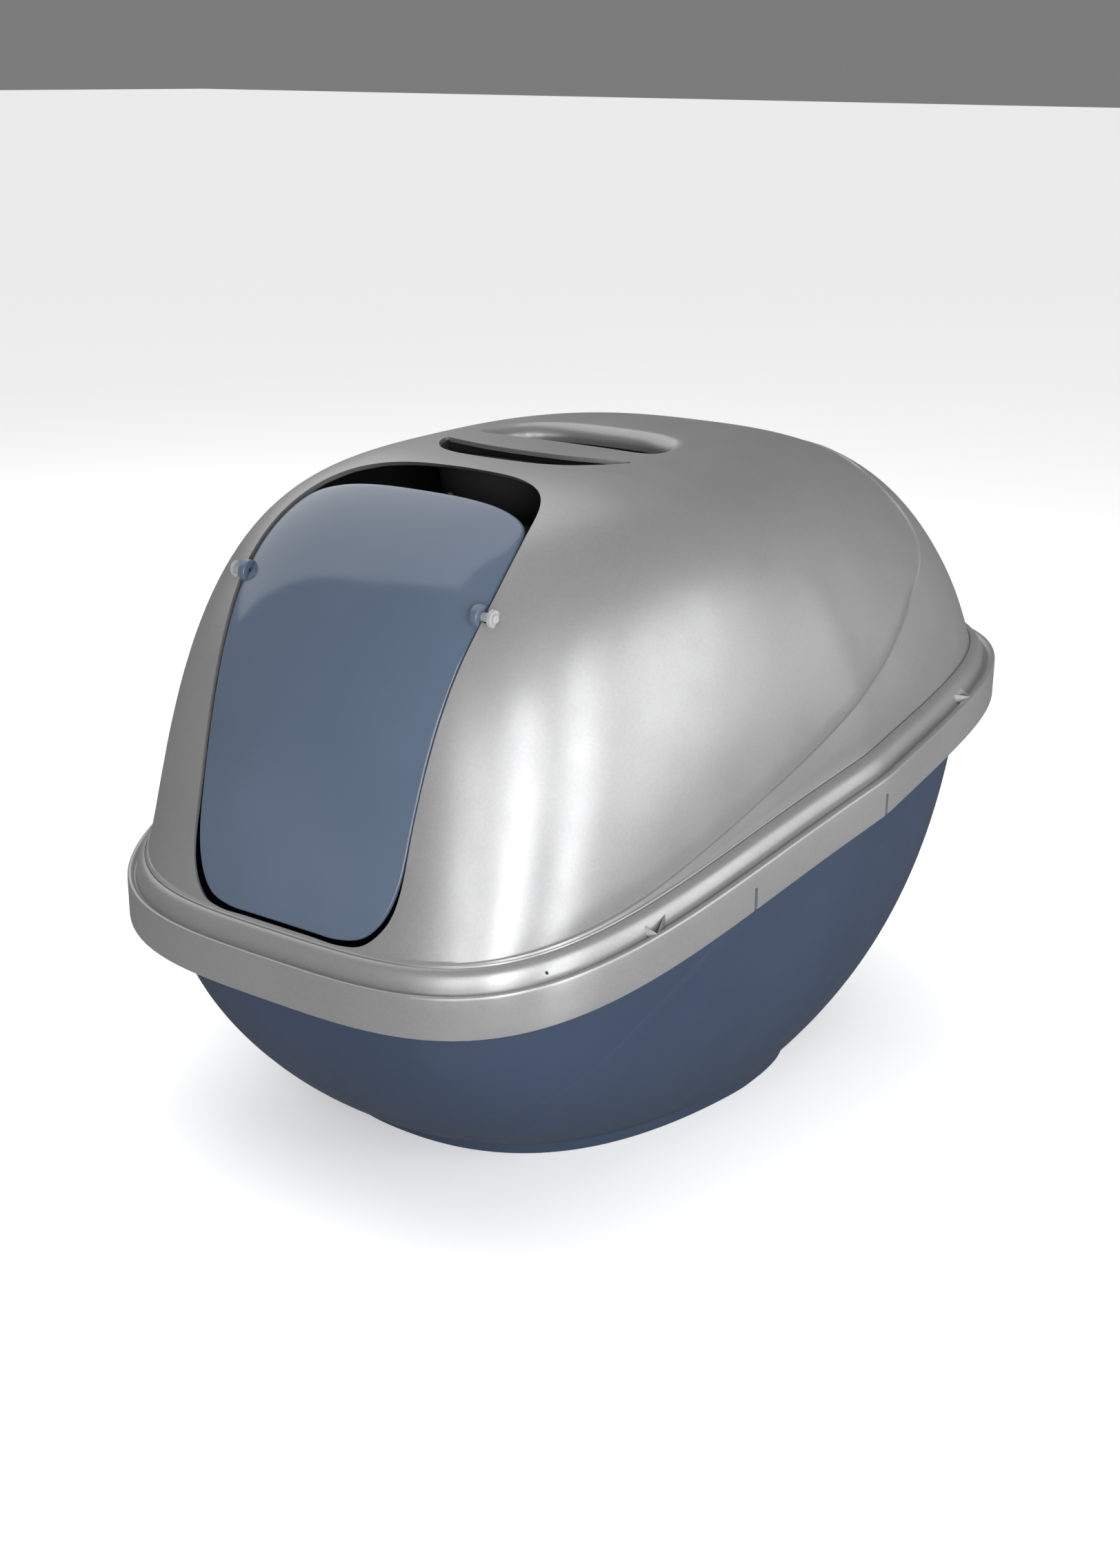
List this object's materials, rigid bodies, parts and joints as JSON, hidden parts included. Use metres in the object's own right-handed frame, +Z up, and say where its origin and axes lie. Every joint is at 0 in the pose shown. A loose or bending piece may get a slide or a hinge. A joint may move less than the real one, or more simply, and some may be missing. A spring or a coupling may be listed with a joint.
{
  "type": "cat litter box with hood",
  "caption": "Hooded cat litter box: a deep pan, a domed lift-off hood with a carrying handle, a tinted two-way flap and a carbon filter.",
  "frame": {"origin": "on the ground, under the middle of the box's outline", "axes": "+Z up, +Y from the doorway to the back, along the longest side, +X to the right of someone facing +Y"},
  "size_m": [0.396, 0.53, 0.3807],
  "materials": {
    "tray": "moulded polypropylene, slate blue, satin gloss",
    "hood": "moulded polypropylene, silver grey with a fine metallic flake, satin gloss",
    "flap": "clear polystyrene with a smoke-blue tint, polished",
    "pin": "clear moulded plastic, polished",
    "holder": "moulded polypropylene, grey, satin",
    "pad": "open-cell foam loaded with carbon, matt black"
  },
  "bodies": {
    "tray": {"tray": "tray"},
    "hood": {"hood": "hood"},
    "flap": {"flap": "flap", "flap_pin_left": "pin", "flap_pin_right": "pin"},
    "filter": {"filter_holder": "holder", "filter_pad": "pad"}
  },
  "joints": [
    {"name": "hood_lift", "type": "slide", "parent": "tray", "child": "hood", "axis": [0, 0, 1], "range_m": [0, 0.28]},
    {"name": "flap_swing", "type": "hinge", "parent": "hood", "child": "flap", "pos_m": [0, -0.183, 0.328], "axis": [1, 0, 0], "range_deg": [-75, 75]},
    {"name": "filter_release", "type": "slide", "parent": "hood", "child": "filter", "axis": [0, 0, -1], "range_m": [0, 0.06]}
  ]
}
